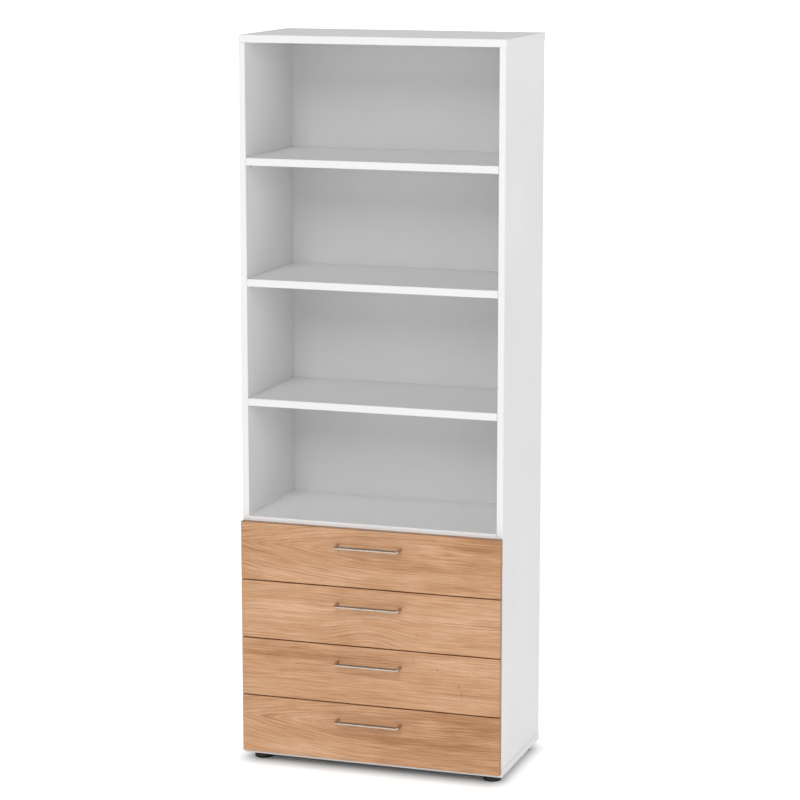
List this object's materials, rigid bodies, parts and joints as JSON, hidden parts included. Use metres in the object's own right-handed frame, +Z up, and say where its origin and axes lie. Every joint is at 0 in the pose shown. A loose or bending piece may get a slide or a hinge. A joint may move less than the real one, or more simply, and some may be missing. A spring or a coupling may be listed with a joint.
{
  "type": "bookcase with bottom drawers",
  "caption": "Tall white bookcase: open compartments above a stack of wood-look drawers on roller runners, with bow handles and levelling feet.",
  "frame": {"origin": "on the floor under the middle of the whole footprint, handles included, drawers shut", "axes": "+Z up, -Y the side with the drawer fronts, +X to the right seen from the front"},
  "size_m": [0.8, 0.455, 2.156],
  "materials": {
    "white_melamine": "white melamine on chipboard, fine satin, banded edges",
    "white_back_board": "white coated back board, satin",
    "cherry_decor": "warm light cherry or walnut decor, horizontal grain, satin",
    "drawer_box_board": "light grey wrapped board",
    "drawer_bottom_board": "light grey coated hardboard",
    "satin_steel": "satin nickel round rod",
    "nickel_plated_steel": "nickel plated",
    "runner_steel": "light grey epoxy coated sheet steel",
    "roller_plastic": "off-white nylon",
    "black_plastic": "black moulded plastic",
    "beech_dowel": "plain beech",
    "white_felt": "white felt pad"
  },
  "bodies": {
    "carcass": {"top_panel": "white_melamine", "bottom_panel": "white_melamine", "left_side_panel": "white_melamine", "right_side_panel": "white_melamine", "back_panel": "white_back_board", "fixed_shelf": "white_melamine", "loose_shelf_1": "white_melamine", "loose_shelf_2": "white_melamine", "loose_shelf_3": "white_melamine", "shelf_supports": "nickel_plated_steel", "dowels": "beech_dowel", "foot_sockets": "black_plastic", "front_bumpers": "white_felt", "drawer_1_cabinet_members": "runner_steel", "drawer_2_cabinet_members": "runner_steel", "drawer_3_cabinet_members": "runner_steel", "drawer_4_cabinet_members": "runner_steel"},
    "drawer_1": {"drawer_1_front": "cherry_decor", "drawer_1_handle": "satin_steel", "drawer_1_handle_screws": "nickel_plated_steel", "drawer_1_sides": "drawer_box_board", "drawer_1_end_walls": "drawer_box_board", "drawer_1_bottom": "drawer_bottom_board", "drawer_1_drawer_members": "runner_steel"},
    "drawer_1_cabinet_rollers": {"drawer_1_cabinet_rollers": "roller_plastic"},
    "drawer_1_tail_rollers": {"drawer_1_tail_rollers": "roller_plastic"},
    "drawer_2": {"drawer_2_front": "cherry_decor", "drawer_2_handle": "satin_steel", "drawer_2_handle_screws": "nickel_plated_steel", "drawer_2_sides": "drawer_box_board", "drawer_2_end_walls": "drawer_box_board", "drawer_2_bottom": "drawer_bottom_board", "drawer_2_drawer_members": "runner_steel"},
    "drawer_2_cabinet_rollers": {"drawer_2_cabinet_rollers": "roller_plastic"},
    "drawer_2_tail_rollers": {"drawer_2_tail_rollers": "roller_plastic"},
    "drawer_3": {"drawer_3_front": "cherry_decor", "drawer_3_handle": "satin_steel", "drawer_3_handle_screws": "nickel_plated_steel", "drawer_3_sides": "drawer_box_board", "drawer_3_end_walls": "drawer_box_board", "drawer_3_bottom": "drawer_bottom_board", "drawer_3_drawer_members": "runner_steel"},
    "drawer_3_cabinet_rollers": {"drawer_3_cabinet_rollers": "roller_plastic"},
    "drawer_3_tail_rollers": {"drawer_3_tail_rollers": "roller_plastic"},
    "drawer_4": {"drawer_4_front": "cherry_decor", "drawer_4_handle": "satin_steel", "drawer_4_handle_screws": "nickel_plated_steel", "drawer_4_sides": "drawer_box_board", "drawer_4_end_walls": "drawer_box_board", "drawer_4_bottom": "drawer_bottom_board", "drawer_4_drawer_members": "runner_steel"},
    "drawer_4_cabinet_rollers": {"drawer_4_cabinet_rollers": "roller_plastic"},
    "drawer_4_tail_rollers": {"drawer_4_tail_rollers": "roller_plastic"},
    "front_left_foot": {"front_left_foot": "black_plastic"},
    "front_right_foot": {"front_right_foot": "black_plastic"},
    "rear_left_foot": {"rear_left_foot": "black_plastic"},
    "rear_right_foot": {"rear_right_foot": "black_plastic"}
  },
  "joints": [
    {"name": "drawer_1_slide", "type": "slide", "parent": "carcass", "child": "drawer_1", "axis": [0, -1, 0], "range_m": [0, 0.27]},
    {"name": "drawer_1_cabinet_roller_spin", "type": "hinge", "parent": "carcass", "child": "drawer_1_cabinet_rollers", "pos_m": [0, -0.1555, 0.065], "axis": [1, 0, 0], "range_deg": [0, 1410]},
    {"name": "drawer_1_tail_roller_spin", "type": "hinge", "parent": "drawer_1", "child": "drawer_1_tail_rollers", "pos_m": [0, 0.1575, 0.065], "axis": [1, 0, 0], "range_deg": [0, 1410]},
    {"name": "drawer_2_slide", "type": "slide", "parent": "carcass", "child": "drawer_2", "axis": [0, -1, 0], "range_m": [0, 0.27]},
    {"name": "drawer_2_cabinet_roller_spin", "type": "hinge", "parent": "carcass", "child": "drawer_2_cabinet_rollers", "pos_m": [0, -0.1555, 0.241], "axis": [1, 0, 0], "range_deg": [0, 1410]},
    {"name": "drawer_2_tail_roller_spin", "type": "hinge", "parent": "drawer_2", "child": "drawer_2_tail_rollers", "pos_m": [0, 0.1575, 0.241], "axis": [1, 0, 0], "range_deg": [0, 1410]},
    {"name": "drawer_3_slide", "type": "slide", "parent": "carcass", "child": "drawer_3", "axis": [0, -1, 0], "range_m": [0, 0.27]},
    {"name": "drawer_3_cabinet_roller_spin", "type": "hinge", "parent": "carcass", "child": "drawer_3_cabinet_rollers", "pos_m": [0, -0.1555, 0.417], "axis": [1, 0, 0], "range_deg": [0, 1410]},
    {"name": "drawer_3_tail_roller_spin", "type": "hinge", "parent": "drawer_3", "child": "drawer_3_tail_rollers", "pos_m": [0, 0.1575, 0.417], "axis": [1, 0, 0], "range_deg": [0, 1410]},
    {"name": "drawer_4_slide", "type": "slide", "parent": "carcass", "child": "drawer_4", "axis": [0, -1, 0], "range_m": [0, 0.27]},
    {"name": "drawer_4_cabinet_roller_spin", "type": "hinge", "parent": "carcass", "child": "drawer_4_cabinet_rollers", "pos_m": [0, -0.1555, 0.593], "axis": [1, 0, 0], "range_deg": [0, 1410]},
    {"name": "drawer_4_tail_roller_spin", "type": "hinge", "parent": "drawer_4", "child": "drawer_4_tail_rollers", "pos_m": [0, 0.1575, 0.593], "axis": [1, 0, 0], "range_deg": [0, 1410]},
    {"name": "front_left_foot_screw", "type": "slide", "parent": "carcass", "child": "front_left_foot", "axis": [0, 0, -1], "range_m": [0, 0.01]},
    {"name": "front_right_foot_screw", "type": "slide", "parent": "carcass", "child": "front_right_foot", "axis": [0, 0, -1], "range_m": [0, 0.01]},
    {"name": "rear_left_foot_screw", "type": "slide", "parent": "carcass", "child": "rear_left_foot", "axis": [0, 0, -1], "range_m": [0, 0.01]},
    {"name": "rear_right_foot_screw", "type": "slide", "parent": "carcass", "child": "rear_right_foot", "axis": [0, 0, -1], "range_m": [0, 0.01]}
  ],
  "couplings": [
    {"joint": "drawer_1_cabinet_roller_spin", "follows": "drawer_1_slide", "rad_per_m": 90.909},
    {"joint": "drawer_1_tail_roller_spin", "follows": "drawer_1_slide", "rad_per_m": 90.909},
    {"joint": "drawer_2_cabinet_roller_spin", "follows": "drawer_2_slide", "rad_per_m": 90.909},
    {"joint": "drawer_2_tail_roller_spin", "follows": "drawer_2_slide", "rad_per_m": 90.909},
    {"joint": "drawer_3_cabinet_roller_spin", "follows": "drawer_3_slide", "rad_per_m": 90.909},
    {"joint": "drawer_3_tail_roller_spin", "follows": "drawer_3_slide", "rad_per_m": 90.909},
    {"joint": "drawer_4_cabinet_roller_spin", "follows": "drawer_4_slide", "rad_per_m": 90.909},
    {"joint": "drawer_4_tail_roller_spin", "follows": "drawer_4_slide", "rad_per_m": 90.909}
  ]
}
